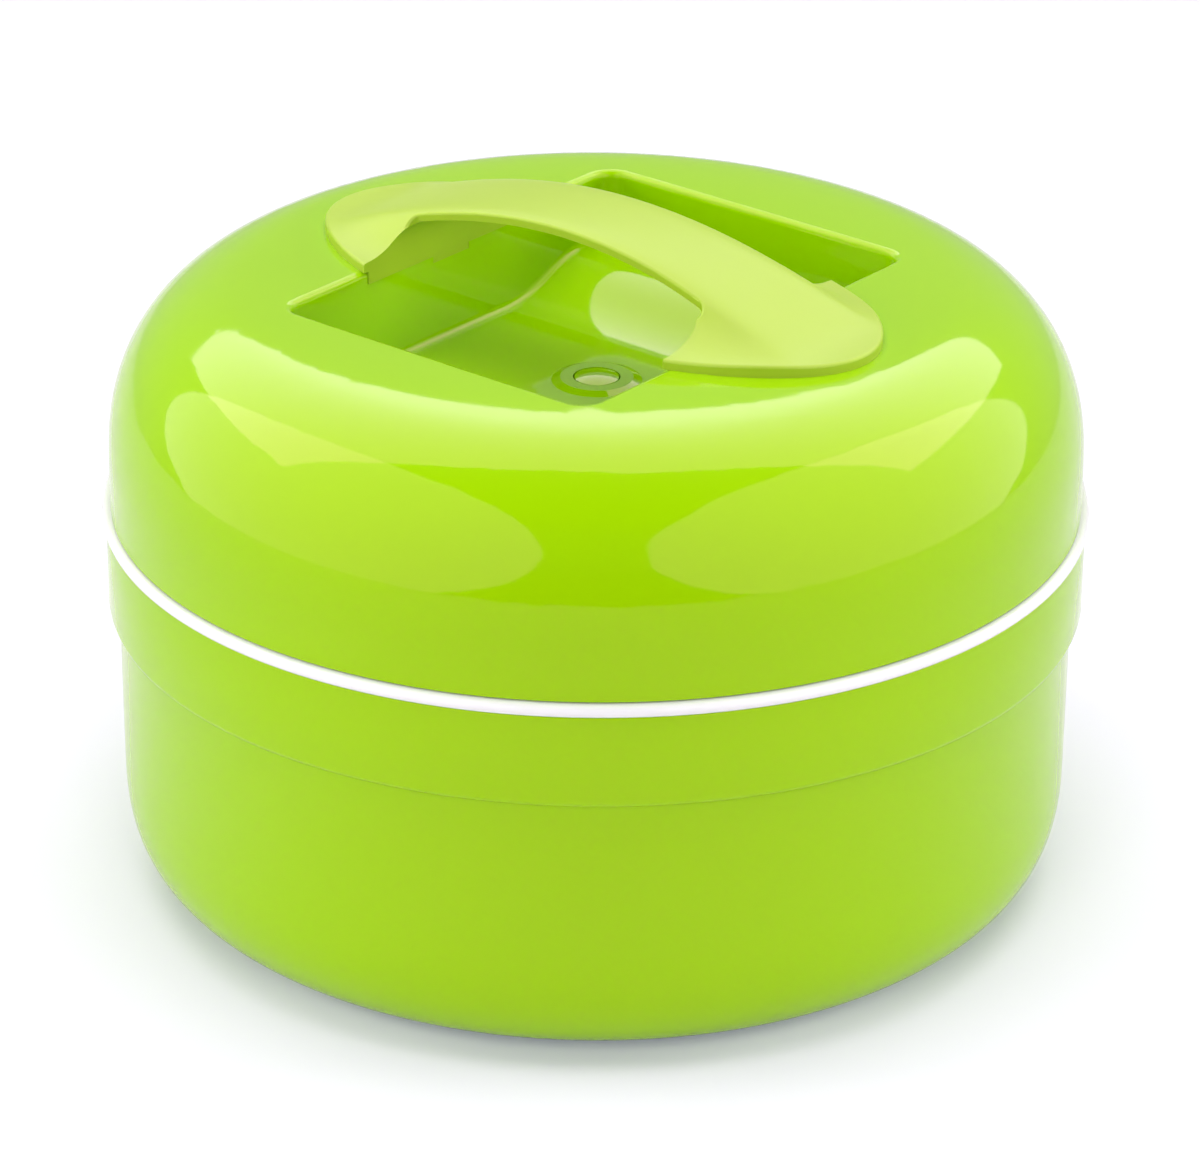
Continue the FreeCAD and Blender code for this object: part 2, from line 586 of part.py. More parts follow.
def lid_insulation():
    """Foam between dome and lid liner, round the pocket, the vent and the screw heads."""
    plug_inner = PLUG_RADIUS - LID_PLUG_WALL
    size = LID_LINER_CORNER + LID_LINER_WALL + FOAM_GAP
    outer_corner = upper_corner(plug_inner - LID_LINER_CORNER, CEILING - LID_LINER_CORNER, size)
    seat = RIM_TOP + 2 * LID_LINER_WALL + FOAM_GAP
    liner_space = turned((0, seat - 1), (plug_inner + LID_LINER_WALL + FOAM_GAP, seat - 1),
                         outer_corner, (0, CEILING_TOP + FOAM_GAP))
    foam = dome(LID_WALL + FOAM_GAP, seat).cut(liner_space)
    foam = foam.cut(pocket_body(LID_WALL + FOAM_GAP, 0))
    foam = foam.cut(rod(0, 0, CEILING, POCKET_FLOOR, DISC_RADIUS + VENT_FLANGE_WIDTH))
    for x, y, underside in screw_places():
        foam = foam.cut(rod(x, y, underside - SCREW_HEAD_HEIGHT - FOAM_GAP, LID_TOP,
                            SCREW_HEAD_RADIUS + FOAM_GAP))
    return foam


# ---------------------------------------------------------------- handle
def handle_height(x, y):
    """Height of the handle's top: a bent grip that runs out into flaps lying on the lid."""
    flap = crown_height(math.hypot(x, y)) + HANDLE_FLAP
    above = ARCH_TOP - HANDLE_BEND * x * x - flap
    rise = (above + math.sqrt(above ** 2 + HANDLE_FLAP ** 2)) / 2
    outward = (abs(y) - GRIP_END_WIDTH / 2) / SHELF_WIDTH
    fall = min((outward + math.sqrt(outward ** 2 + GRIP_EDGE_SOFTNESS ** 2)) / 2, 1.0)
    return flap + rise * (1.0 - fall) ** SHELF_HOLLOW


def under_handle_top(drop):
    """Everything below the handle's top surface, lowered by drop."""
    spare = 2 * HANDLE_FLAP
    half_x = HANDLE_LENGTH / 2 + spare
    half_y = HANDLE_FLAP_WIDTH / 2 + spare
    columns, rows = 28, 36
    grid = []
    for column in range(columns + 1):
        x = half_x * (2 * column / columns - 1)
        row_of_points = []
        for row in range(rows + 1):
            y = half_y * (2 * row / rows - 1)
            row_of_points.append(FreeCAD.Vector(x, y, handle_height(x, y) - drop))
        grid.append(row_of_points)
    surface = Part.BSplineSurface()
    surface.interpolate(grid)
    return surface.toShape().extrude(FreeCAD.Vector(0, 0, LEG_BOTTOM - ARCH_TOP - LEG_DEPTH))


def handle_plan(inset):
    """Plan outline of the handle as an upright prism: oval flaps joined by the narrower grip."""
    long_half = HANDLE_LENGTH / 2 - inset
    short_half = HANDLE_FLAP_WIDTH / 2 - inset
    edge_x = POCKET_LENGTH / 2 - LEG_PROUD - LEG_TRIM
    edge_y = short_half * math.sqrt(1 - (edge_x / long_half) ** 2)
    middle = GRIP_WIDTH / 2 - inset
    end = GRIP_END_WIDTH / 2 - inset
    turn_x = edge_x - GRIP_TURN
    skin = GRIP_TURN / math.sqrt(2)
    low = LEG_BOTTOM - 1

    def spot(x, y):
        return FreeCAD.Vector(x, y, low)

    def quarter(side_x, side_y):
        def place(x, y):
            return spot(side_x * x, side_y * y)

        widening = middle + (end - middle) / 4
        grip = Part.Arc(place(0, middle), place(turn_x / 2, widening), place(turn_x, end)).toShape()
        bend = Part.Arc(place(turn_x, end), place(turn_x + skin, end + GRIP_TURN - skin),
                        place(edge_x, end + GRIP_TURN)).toShape()
        return [grip, bend, Part.makeLine(place(edge_x, end + GRIP_TURN), place(edge_x, edge_y))]

    def tip(side_x):
        angle = math.asin(edge_y / short_half)
        ellipse = Part.Ellipse(FreeCAD.Vector(0, 0, low), long_half, short_half)
        middle_angle = 0 if side_x > 0 else math.pi
        return ellipse.toShape(middle_angle - angle, middle_angle + angle)

    edges = [tip(1), tip(-1)]
    for side_x in (-1, 1):
        for side_y in (-1, 1):
            edges += quarter(side_x, side_y)
    section = Part.Face(Part.Wire(Part.sortEdges(edges)[0]))
    return section.extrude(FreeCAD.Vector(0, 0, ARCH_TOP - low + 2))


def under_grip():
    """The hand space under the grip: a tunnel across the lid with a gently arched roof."""
    half = POCKET_LENGTH / 2 - LEG_PROUD
    bottom = LEG_BOTTOM - TONGUE_DEPTH - 1
    roof = 1 / (2 * HANDLE_BEND)
    roof_top = ARCH_TOP - HANDLE_SKIN
    centre_x = half - ARCH_CORNER
    lean = math.asin(centre_x / (roof - ARCH_CORNER))
    centre_z = roof_top - roof + (roof - ARCH_CORNER) * math.cos(lean)
    join = (roof * math.sin(lean), roof_top - roof * (1 - math.cos(lean)))
    halfway = (math.pi / 2 + lean) / 2
    bend = (centre_x + ARCH_CORNER * math.sin(halfway), centre_z + ARCH_CORNER * math.cos(halfway))
    face = outline((-half, bottom), arc((-half, centre_z), (-bend[0], bend[1]), (-join[0], join[1])),
                   arc((-join[0], join[1]), (0, roof_top), join),
                   arc(join, bend, (half, centre_z)), (half, bottom))
    width = HANDLE_FLAP_WIDTH
    face.translate(FreeCAD.Vector(0, -width, 0))
    return face.extrude(FreeCAD.Vector(0, 2 * width, 0))


def long_upper_edges(body):
    """The edges of the handle's top surface along the grip's two sides and round both flaps."""
    top = max(body.Faces, key=lambda face: face.BoundBox.ZMax)
    return [edge for edge in top.Edges if edge.Length > GRIP_WIDTH]


def carry_handle():
    """Green handle: bent grip, oval flaps cored out from below, legs and four screw bosses."""
    hollow = under_grip()
    body = handle_plan(0).cut(dome(0, RIM_TOP)).cut(hollow).common(under_handle_top(0))
    body = body.makeFillet(HANDLE_EDGE_ROUND, long_upper_edges(body))
    uncored = POCKET_LENGTH / 2 + LID_WALL
    core = handle_plan(HANDLE_WALL).common(under_handle_top(HANDLE_WALL)).cut(
        block((-uncored, uncored), (-HANDLE_FLAP_WIDTH, HANDLE_FLAP_WIDTH), (LEG_BOTTOM - 2, ARCH_TOP + 2)))
    for x, y, underside in screw_places():
        core = core.cut(rod(x, y, underside - 2, ARCH_TOP + 2, BOSS_RADIUS))
    body = body.cut(core)
    for side in (-1, 1):
        body = body.fuse(leg_block(side, 0, LEG_LEAN).cut(hollow))
    for x, y, underside in screw_places():
        body = body.cut(rod(x, y, underside, underside + SCREW_LENGTH, SCREW_RADIUS))
    return body


def handle_screws():
    """Four pan-head screws driven from inside the lid into the handle's bosses."""
    screws = []
    for x, y, underside in screw_places():
        screw = rod(x, y, underside - SCREW_HEAD_HEIGHT, underside, SCREW_HEAD_RADIUS)
        screw = screw.fuse(rod(x, y, underside, underside + SCREW_LENGTH, SCREW_RADIUS))
        half = SCREW_SLOT_WIDTH / 2
        reach = SCREW_RADIUS
        low = underside - SCREW_HEAD_HEIGHT
        for length, width in ((reach, half), (half, reach)):
            screw = screw.cut(block((x - length, x + length), (y - width, y + width),
                                    (low - 1, low + SCREW_HEAD_HEIGHT / 2)))
        screws.append(screw)
    return Part.makeCompound(screws)


# ---------------------------------------------------------------- steam vent
def vent_button():
    """Press button with a stop flange and a thin stem down through the lid liner."""
    flange_low = POCKET_UNDERSIDE - VENT_FLANGE
    top = POCKET_FLOOR + VENT_PROUD
    stem_end = CEILING - DISC_THICKNESS - CLIP_THICKNESS - STEM_TIP
    side = top - VENT_PROUD / 2
    return turned(
        (0, stem_end), (STEM_RADIUS / 2, stem_end), (STEM_RADIUS, stem_end + STEM_TIP / 2),
        (STEM_RADIUS, flange_low), (VENT_RADIUS + VENT_FLANGE_WIDTH, flange_low),
        (VENT_RADIUS + VENT_FLANGE_WIDTH, POCKET_UNDERSIDE), (VENT_RADIUS, POCKET_UNDERSIDE),
        cap(VENT_RADIUS, side, top))


def vent_disc():
    """Silicone disc that closes the vent holes from below."""
    return ring(STEM_RADIUS, DISC_RADIUS, CEILING - DISC_THICKNESS, CEILING)


def vent_clip():
    """Push-on washer that holds the disc on the stem."""
    high = CEILING - DISC_THICKNESS
    return ring(STEM_RADIUS, CLIP_RADIUS, high - CLIP_THICKNESS, high)


def vent_bellows():
    """Soft folded sleeve round the stem, between the lid liner and the button's flange."""
    height = VENT_SPACE - VENT_FLANGE
    steps = 2 * BELLOWS_FOLDS
    outside = [(BELLOWS_RADIUS - BELLOWS_FOLD * (step % 2), CEILING_TOP + height * step / steps)
               for step in range(steps + 1)]
    inside = [(radius - BELLOWS_WALL, z) for radius, z in reversed(outside)]
    return turned(*outside, *inside)


# ---------------------------------------------------------------- output
PIECES = (outer_bowl, foam_filler_plug, bowl_insulation, bowl_liner, food_dish, dish_seal, dish_lid,
          lid_cover, carry_handle, handle_screws, lid_insulation, lid_liner, lid_seal,
          vent_button, vent_bellows, vent_disc, vent_clip)

os.makedirs("parts", exist_ok=True)
for piece in PIECES:
    shape = piece()
    if not shape.isValid():
        raise RuntimeError(piece.__name__ + " is not a valid solid")
    shape.exportStep("parts/" + piece.__name__ + ".step")
    box = shape.BoundBox
    print(f"{piece.__name__:18s} {len(shape.Solids):2d} solids {shape.Volume / 1000:9.2f} cm3 "
          f"x {box.XMin:7.2f} {box.XMax:7.2f}  z {box.ZMin:7.2f} {box.ZMax:7.2f}")
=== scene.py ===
import math

import bmesh
import bpy
from mathutils import Matrix, Vector


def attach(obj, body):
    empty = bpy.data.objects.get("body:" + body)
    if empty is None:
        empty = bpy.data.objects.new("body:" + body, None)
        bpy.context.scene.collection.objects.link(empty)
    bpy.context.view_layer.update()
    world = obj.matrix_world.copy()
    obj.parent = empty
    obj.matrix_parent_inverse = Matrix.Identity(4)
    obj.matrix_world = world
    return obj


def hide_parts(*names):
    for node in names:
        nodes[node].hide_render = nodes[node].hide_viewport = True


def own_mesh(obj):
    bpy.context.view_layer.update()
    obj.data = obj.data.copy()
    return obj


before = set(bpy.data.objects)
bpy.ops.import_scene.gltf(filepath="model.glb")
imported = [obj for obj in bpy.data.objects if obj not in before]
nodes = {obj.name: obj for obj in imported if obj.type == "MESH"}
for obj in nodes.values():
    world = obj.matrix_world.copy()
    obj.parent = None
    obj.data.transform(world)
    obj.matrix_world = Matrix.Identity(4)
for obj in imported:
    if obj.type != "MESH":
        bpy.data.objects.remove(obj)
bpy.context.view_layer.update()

scene = bpy.context.scene
scene.view_settings.view_transform = "Standard"

# ------------------------------------------------------------------------------------------
# Camera. A long lens looks down on the container from the front right of the handle's line,
# so that the grip crosses the view from left to right.
# ------------------------------------------------------------------------------------------
view_turn = math.radians(39.06)
view_tilt = math.radians(25.08)
view_roll = 0.0075         # radians
view_distance = 1.1005
aim_height = 0.0606
aim_right = 0.00096
lens_length, sensor_width = 161.3, 36.0  # millimetres

rightward = Vector((math.cos(view_turn), math.sin(view_turn), 0))
inward = Vector((-math.sin(view_turn), math.cos(view_turn), 0))
backward = -inward * math.cos(view_tilt) + Vector((0, 0, math.sin(view_tilt)))
upward = backward.cross(rightward)
aim = Vector((0, 0, aim_height)) + rightward * aim_right

camera_data = bpy.data.cameras.new("camera")
camera_data.lens = lens_length
camera_data.sensor_width = sensor_width
camera = bpy.data.objects.new("camera", camera_data)
scene.collection.objects.link(camera)
turned = Matrix((rightward, upward, backward)).transposed().to_4x4()
camera.matrix_world = (Matrix.Translation(aim + backward * view_distance) @ turned
                       @ Matrix.Rotation(view_roll, 4, "Z"))
scene.camera = camera


# ------------------------------------------------------------------------------------------
# Table and surroundings. A round matt table keeps a soft shadow. The world is white to the
# camera, dim in the gloss on the camera's side and brighter behind, and gives a little even light.
# ------------------------------------------------------------------------------------------
def add_node(tree, kind, **settings):
    """A node of a kind; settings are socket values by name, with _ for a space, or properties."""
    node = tree.nodes.new(kind)
    for name, value in settings.items():
        socket = name.replace("_", " ")
        if socket in node.inputs:
            node.inputs[socket].default_value = value
        else:
            setattr(node, name, value)
    return node


def link(tree, source, output, target, entry):
    """Joins an output of one node to an input of another."""
    tree.links.new(source.outputs[output], target.inputs[entry])


def seen_directly(tree, mirrored):
    """1 for what the camera shows, mirrored for gloss and glass, 0 for light that falls on things.

    mirrored is a plain number or a node.
    """
    path = add_node(tree, "ShaderNodeLightPath")
    through = add_node(tree, "ShaderNodeMath", operation="MAXIMUM")
    link(tree, path, "Is Glossy Ray", through, 0)
    link(tree, path, "Is Transmission Ray", through, 1)
    mirror = add_node(tree, "ShaderNodeMath", operation="MULTIPLY")
    link(tree, through, 0, mirror, 0)
    if isinstance(mirrored, float):
        mirror.inputs[1].default_value = mirrored
    else:
        link(tree, mirrored, 0, mirror, 1)
    shown = add_node(tree, "ShaderNodeMath", operation="MAXIMUM")
    link(tree, path, "Is Camera Ray", shown, 0)
    link(tree, mirror, 0, shown, 1)
    return shown


table_radius, table_segments = 1.2, 96
table_colour = (0.80, 0.76, 0.83, 1)
table_glow = (0.12, 0.12, 0.19, 1)  # what the camera sees on top of the table's own light
mirrored_table = 0.1       # share of that glow in the gloss
world_light = 0.25         # plain light from all round
mirrored_near = 0.05       # the world in the gloss on the camera's side
mirrored_far = 0.55        # and behind the container
near_turn, far_turn = -0.2, 0.6  # how far inward a direction points where that change runs

mesh = bmesh.new()
bmesh.ops.create_circle(mesh, cap_ends=True, segments=table_segments, radius=table_radius)
table_mesh = bpy.data.meshes.new("table")
mesh.to_mesh(table_mesh)
mesh.free()
table = bpy.data.objects.new("table", table_mesh)
scene.collection.objects.link(table)

table_finish = bpy.data.materials.new("table_white")
table_finish.use_nodes = True
tree = table_finish.node_tree
tree.nodes.clear()
surface = add_node(tree, "ShaderNodeOutputMaterial")
matt = add_node(tree, "ShaderNodeBsdfDiffuse", Color=table_colour)
glow = add_node(tree, "ShaderNodeEmission", Color=table_glow)
both = add_node(tree, "ShaderNodeAddShader")
link(tree, seen_directly(tree, mirrored_table), 0, glow, "Strength")
link(tree, matt, 0, both, 0)
link(tree, glow, 0, both, 1)
link(tree, both, 0, surface, "Surface")
table_mesh.materials.append(table_finish)

world = bpy.data.worlds.new("studio")
scene.world = world
world.use_nodes = True
tree = world.node_tree
tree.nodes.clear()
surface = add_node(tree, "ShaderNodeOutputWorld")
sky = add_node(tree, "ShaderNodeBackground", Color=(1, 1, 1, 1))
towards = add_node(tree, "ShaderNodeTexCoord")
depth = add_node(tree, "ShaderNodeVectorMath", operation="DOT_PRODUCT")
depth.inputs[1].default_value = inward
link(tree, towards, "Generated", depth, 0)
mirrored = add_node(tree, "ShaderNodeMapRange", From_Min=near_turn, From_Max=far_turn,
                    To_Min=mirrored_near, To_Max=mirrored_far)
link(tree, depth, "Value", mirrored, "Value")
shown = seen_directly(tree, mirrored)
path = add_node(tree, "ShaderNodeLightPath")
falling = add_node(tree, "ShaderNodeMath", operation="MULTIPLY")
falling.inputs[1].default_value = world_light
link(tree, path, "Is Diffuse Ray", falling, 0)
white = add_node(tree, "ShaderNodeMath", operation="ADD")
link(tree, shown, 0, white, 0)
link(tree, falling, 0, white, 1)
link(tree, white, 0, sky, "Strength")
link(tree, sky, 0, surface, "Surface")


# ------------------------------------------------------------------------------------------
# Studio lamps. Three show only in the gloss: a box overhead and behind makes the bright band over
# the lid's front, and a wide ellipse on each side a fainter patch. Four others only give light.
# ------------------------------------------------------------------------------------------
nearly_sideways = 0.9      # past this, a lamp's width runs inward instead of to the right


def softbox(name, place, look_at, size, power, only_gloss=False, shape="RECTANGLE"):
    """An area lamp at a place given as (right, inward, up) from the container's middle."""
    lamp_data = bpy.data.lights.new(name, "AREA")
    lamp_data.shape = shape
    lamp_data.size, lamp_data.size_y = size
    lamp_data.energy = power
    lamp = bpy.data.objects.new(name, lamp_data)
    scene.collection.objects.link(lamp)
    middle = rightward * place[0] + inward * place[1] + Vector((0, 0, place[2]))
    target = rightward * look_at[0] + inward * look_at[1] + Vector((0, 0, look_at[2]))
    facing = (middle - target).normalized()
    level = inward if abs(rightward.dot(facing)) > nearly_sideways else rightward
    across = (level - facing * level.dot(facing)).normalized()
    lamp.matrix_world = (Matrix.Translation(middle)
                         @ Matrix((across, facing.cross(across), facing)).transposed().to_4x4())
    lamp.visible_camera = False
    lamp.visible_glossy = only_gloss
    lamp.visible_diffuse = not only_gloss
    lamp.visible_transmission = not only_gloss


softbox("overhead_box", (0.0, 1.38, 1.6), (0.0, 1.38, 0.0), size=(4.3, 2.76), power=105.0, only_gloss=True)
for name, side in (("left_wall", -1), ("right_wall", 1)):
    softbox(name, (2.1 * side, -0.85, 2.1), (0.0, -0.16, 2.1), size=(7.4, 4.9), power=185.0,
            only_gloss=True, shape="ELLIPSE")
softbox("top_light", (0.0, 0.05, 1.5), (0.0, 0.0, 0.05), size=(1.7, 1.4), power=20.0)
softbox("front_light", (-0.2, -1.9, 1.15), (0.0, 0.0, 0.07), size=(1.8, 1.2), power=23.0)
for name, side in (("left_light", -1), ("right_light", 1)):
    softbox(name, (2.2 * side, 0.3, 0.55), (0.0, 0.0, 0.07), size=(1.2, 0.9), power=27.0)


# ------------------------------------------------------------------------------------------
# Outer bowl. One injection-moulded shell of lime green polypropylene, polished in the mould:
# deep even colour, a faint orange peel in the gloss and hair-fine marks from handling.
# ------------------------------------------------------------------------------------------
wall = 2.4                 # all sizes of the mouldings are in millimetres
foot_radius = 68.9         # outer edge of the flat ring that the bowl stands on
foot_width = 8.5
foot_recess = 1.6
fill_hole = 6.0
corner_reach, corner_rise, corner_power = 28.0, 26.5, 2.8
corner_steps = 24
plain_radius = 97.1        # under the band
band_radius = 99.2
band_foot, bowl_top = 60.0, 79.25
lime = (0.318, 0.60, 0.0, 1)
lime_mirror = (1.0, 0.2, 0.4, 1)  # tint of the gloss seen straight on
lime_depth = {"IOR": 1.49, "Subsurface Weight": 0.1, "Subsurface Radius": (0.6, 1.0, 0.1),
              "Subsurface Scale": 0.002}
turning_steps = 256        # round the axis
rounding_steps = 5
sharp_angle = 35           # degrees; flatter edges are shaded smooth
axis_reach = 1e-6          # metres; places this close are one


def moulded_skin_group():
    """Shared finish of moulded plastic: colour drift, smudged gloss and a fine surface peel."""
    group = bpy.data.node_groups.new("moulded_skin", "ShaderNodeTree")
    for name, kind, value in (("Color", "NodeSocketColor", (0.5, 0.5, 0.5, 1)),
                              ("Drift", "NodeSocketFloat", 0.04), ("Roughness", "NodeSocketFloat", 0.2),
                              ("Smudge", "NodeSocketFloat", 0.05), ("Marks", "NodeSocketFloat", 0.03),
                              ("Grain Scale", "NodeSocketFloat", 900.0)):
        socket = group.interface.new_socket(name, in_out="INPUT", socket_type=kind)
        socket.default_value = value
    for name, kind in (("Color", "NodeSocketColor"), ("Roughness", "NodeSocketFloat"),
                       ("Height", "NodeSocketFloat")):
        group.interface.new_socket(name, in_out="OUTPUT", socket_type=kind)
    entry = add_node(group, "NodeGroupInput")
    leave = add_node(group, "NodeGroupOutput")
    place = add_node(group, "ShaderNodeTexCoord")

    cloudy = add_node(group, "ShaderNodeTexNoise", Scale=11.0, Detail=3.0, Roughness=0.5)
    link(group, place, "Object", cloudy, "Vector")
    signed = add_node(group, "ShaderNodeMapRange", To_Min=-1.0, To_Max=1.0)
    link(group, cloudy, 0, signed, "Value")
    amount = add_node(group, "ShaderNodeMath", operation="MULTIPLY")
    link(group, signed, 0, amount, 0)
    link(group, entry, "Drift", amount, 1)
    brightness = add_node(group, "ShaderNodeMath", operation="ADD")
    link(group, amount, 0, brightness, 0)
    brightness.inputs[1].default_value = 1.0
    drifted = add_node(group, "ShaderNodeHueSaturation")
    link(group, entry, "Color", drifted, "Color")
    link(group, brightness, 0, drifted, "Value")
    link(group, drifted, 0, leave, "Color")

    smear = add_node(group, "ShaderNodeTexNoise", Scale=26.0, Detail=5.0, Roughness=0.62, Distortion=0.7)
    link(group, place, "Object", smear, "Vector")
    smeared = add_node(group, "ShaderNodeMapRange", From_Min=0.45, From_Max=0.75)
    link(group, smear, 0, smeared, "Value")
    smudge = add_node(group, "ShaderNodeMath", operation="MULTIPLY_ADD")
    link(group, smeared, 0, smudge, 0)
    link(group, entry, "Smudge", smudge, 1)
    link(group, entry, "Roughness", smudge, 2)
    stretched = add_node(group, "ShaderNodeMapping", Rotation=(0.3, 0.5, 0.9), Scale=(1.0, 14.0, 3.0))
    link(group, place, "Object", stretched, "Vector")
    hair = add_node(group, "ShaderNodeTexNoise", Scale=55.0, Detail=4.0, Roughness=0.7)
    link(group, stretched, 0, hair, "Vector")
    lines = add_node(group, "ShaderNodeMapRange", From_Min=0.66, From_Max=0.70)
    link(group, hair, 0, lines, "Value")
    marked = add_node(group, "ShaderNodeMath", operation="MULTIPLY_ADD")
    link(group, lines, 0, marked, 0)
    link(group, entry, "Marks", marked, 1)
    link(group, smudge, 0, marked, 2)
    link(group, marked, 0, leave, "Roughness")

    grain = add_node(group, "ShaderNodeTexNoise", Detail=2.0, Roughness=0.5)
    link(group, place, "Object", grain, "Vector")
    link(group, entry, "Grain Scale", grain, "Scale")
    wave = add_node(group, "ShaderNodeTexNoise", Scale=38.0, Detail=1.0, Roughness=0.4)
    link(group, place, "Object", wave, "Vector")
    relief = add_node(group, "ShaderNodeMath", operation="MULTIPLY_ADD")
    link(group, wave, 0, relief, 0)
    relief.inputs[1].default_value = 2.0
    link(group, grain, 0, relief, 2)
    link(group, relief, 0, leave, "Height")
    return group


moulded_skin = moulded_skin_group()


def moulded_plastic(name, colour, drift, roughness, smudge, marks, grain_scale, relief, shader):
    """A plastic finish; shader holds the plain values of its Principled BSDF by socket name."""
    finish = bpy.data.materials.new(name)
    finish.use_nodes = True
    tree = finish.node_tree
    body = tree.nodes["Principled BSDF"]
    skin = add_node(tree, "ShaderNodeGroup", node_tree=moulded_skin)
    for socket, value in (("Color", colour), ("Drift", drift), ("Roughness", roughness),
                          ("Smudge", smudge), ("Marks", marks), ("Grain Scale", grain_scale)):
        skin.inputs[socket].default_value = value
    bump = add_node(tree, "ShaderNodeBump", Strength=1.0, Distance=relief)
    link(tree, skin, "Color", body, "Base Color")
    link(tree, skin, "Roughness", body, "Roughness")
    link(tree, skin, "Height", bump, "Height")
    link(tree, bump, "Normal", body, "Normal")
    for socket, value in shader.items():
        body.inputs[socket].default_value = value
    return finish


def dress(node, finish):
    """Gives a carried-over piece its finish in every slot."""
    slots = nodes[node].data.materials
    for index in range(max(len(slots), 1)):
        if index < len(slots):
            slots[index] = finish
        else:
            slots.append(finish)


def spun(name, places, body, replaced, finish, open_ended=False, steps=turning_steps):
    """Turns a closed outline of (radius, height[, rounding]) places about the axis.

    An open_ended outline starts and ends on the axis, and isn't joined along it.
    """
    mesh = bmesh.new()
    corners = [mesh.verts.new((place[0] / 1000, 0, place[1] / 1000)) for place in places]
    mesh.faces.new(corners)
    roundings = sorted({place[2] for place in places if len(place) == 3})
    for rounding in roundings:
        chosen = [corner for corner, place in zip(corners, places) if place[2:] == (rounding,)]
        bmesh.ops.bevel(mesh, geom=chosen, affect="VERTICES", offset=rounding / 1000, segments=rounding_steps,
                        profile=0.5, material=-1)
    bmesh.ops.delete(mesh, geom=mesh.faces[:], context="FACES_ONLY")
    if open_ended:
        axis_edges = [edge for edge in mesh.edges
                      if all(corner.co.x < axis_reach for corner in edge.verts)]
        bmesh.ops.delete(mesh, geom=axis_edges, context="EDGES")
    bmesh.ops.spin(mesh, geom=mesh.verts[:] + mesh.edges[:], cent=(0, 0, 0), axis=(0, 0, 1),
                   angle=2 * math.pi, steps=steps, use_merge=True)
    bmesh.ops.remove_doubles(mesh, verts=mesh.verts[:], dist=axis_reach)
    bmesh.ops.recalc_face_normals(mesh, faces=mesh.faces[:])
    data = bpy.data.meshes.new(name)
    mesh.to_mesh(data)
    mesh.free()
    data.shade_smooth()
    data.set_sharp_from_angle(angle=math.radians(sharp_angle))
    data.materials.append(finish)
    piece = bpy.data.objects.new(name, data)
    scene.collection.objects.link(piece)
    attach(piece, body)
    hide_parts(replaced)
    return piece


def base_corner(inset):
    """The squared-off quarter ellipse from the foot ring out to the wall, moved in by inset."""
    places = []
    for step in range(corner_steps + 1):
        angle = math.radians(90 * step / corner_steps)
        out = (corner_reach - inset) * math.sin(angle) ** (2 / corner_power)
        down = (corner_rise - inset) * max(math.cos(angle), 0.0) ** (2 / corner_power)
        places.append((foot_radius + out, corner_rise - down))
    return places


lime_gloss = moulded_plastic("lime_gloss", lime, drift=0.015, roughness=0.05, smudge=0.04, marks=0.03,
                             grain_scale=900.0, relief=0.000002,
                             shader={**lime_depth, "Specular Tint": lime_mirror})
outline = [(fill_hole, foot_recess), (foot_radius - foot_width - foot_recess, foot_recess),
           (foot_radius - foot_width, 0.0, 0.4)]
outline += base_corner(0.0)
outline += [(plain_radius, band_foot, 0.25), (band_radius, band_foot, 1.5), (band_radius, bowl_top, 0.3),
            (band_radius - wall, bowl_top), (band_radius - wall, band_foot + wall),
            (plain_radius - wall, band_foot)]
outline += base_corner(wall)[::-1]
outline += [(foot_radius, foot_recess + wall), (fill_hole, foot_recess + wall)]
spun("outer_bowl_moulding", outline, "bowl", "outer_bowl", lime_gloss)

# ------------------------------------------------------------------------------------------
# Bowl liner. The bowl's inner wall, moulded in white polypropylene, with a ledge for the dish.
# It sits on the outer bowl, and its rim is the thin white ring between lid and bowl.
# ------------------------------------------------------------------------------------------
liner_wall = 2.0
liner_floor, liner_corner = 8.3, 17.0    # underside of the floor, radius of its outer corner
cavity_radius, mouth_radius = 84.0, 88.0
liner_draft = 2.5
ledge, rim_top = 67.0, 81.75
rim_radius = 100.0
rib_inner, rib_outer, rib_foot = 95.0, 96.6, 75.75
white_gloss = moulded_plastic("white_gloss", (0.84, 0.82, 0.85, 1), drift=0.01, roughness=0.18,
                              smudge=0.06, marks=0.04, grain_scale=1100.0, relief=0.000002,
                              shader={"IOR": 1.49, "Subsurface Weight": 0.2, "Subsurface Scale": 0.002,
                                      "Subsurface Radius": (1.0, 0.95, 0.85)})


def cup_corner(radius, floor, size, steps=12):
    """The round lower corner of a cup whose drafted side ends at that radius."""
    places = []
    for step in range(steps + 1):
        angle = math.radians(90 * step / steps)
        places.append((radius - liner_draft - size + size * math.sin(angle),
                       floor + size - size * math.cos(angle)))
    return places


outline = [(0.0, liner_floor)]
outline += cup_corner(cavity_radius + liner_wall, liner_floor, liner_corner)
outline += [(cavity_radius + liner_wall, ledge - liner_wall),
            (mouth_radius + liner_wall, ledge - liner_wall),
            (mouth_radius + liner_wall, bowl_top), (rib_inner, bowl_top), (rib_inner, rib_foot),
            (rib_outer, rib_foot), (rib_outer, bowl_top), (rim_radius, bowl_top, 1.2),
            (rim_radius, rim_top, 1.2), (mouth_radius, rim_top, 0.4), (mouth_radius, ledge),
            (cavity_radius, ledge, 0.5)]
outline += cup_corner(cavity_radius, liner_floor + liner_wall, liner_corner - liner_wall)[::-1]
outline += [(0.0, liner_floor + liner_wall)]
spun("bowl_liner_moulding", outline, "bowl", "bowl_liner", white_gloss, open_ended=True)

